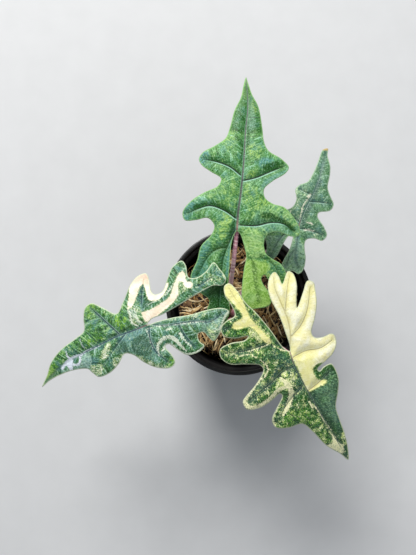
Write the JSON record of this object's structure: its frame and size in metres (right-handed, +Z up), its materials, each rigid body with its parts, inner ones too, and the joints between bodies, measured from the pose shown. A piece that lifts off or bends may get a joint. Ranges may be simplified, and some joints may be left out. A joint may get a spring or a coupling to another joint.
{
  "type": "potted variegated alocasia plant",
  "caption": "Small houseplant with deeply lobed, cream-splashed green leaves on arching stalks, in a round tapered black nursery pot of chunky growing mix.",
  "frame": {"origin": "middle of the pot's flat base, on the surface it stands on", "axes": "+Z up along the pot's axis, +Y towards the side that the large back leaf points to, +X to the right of that"},
  "size_m": [0.2329, 0.2861, 0.1817],
  "materials": {
    "pot": "smooth black moulded plastic, satin, with a slightly scuffed rim",
    "substrate": "coarse brown bark and coir mix with loose tan fibres",
    "crown": "dull brown papery stem base",
    "petiole": "smooth pink-mauve stalk with faint darker mottling, soft gloss",
    "leaf_green": "puckered mid green leaf, satin, with lighter marbling and dark veins",
    "leaf_marbled": "puckered green leaf, satin, with cream bands and flecks",
    "leaf_half_cream": "puckered leaf, satin, half cream and half marbled green",
    "leaf_sage": "puckered sage green leaf, satin, with pale speckles"
  },
  "bodies": {
    "root": {"pot": "pot", "substrate": "substrate", "crown": "crown", "petiole_back": "petiole", "petiole_left": "petiole", "petiole_front": "petiole", "petiole_right": "petiole", "blade_back": "leaf_green", "blade_left": "leaf_marbled", "blade_front": "leaf_half_cream", "blade_right": "leaf_sage"}
  },
  "joints": []
}
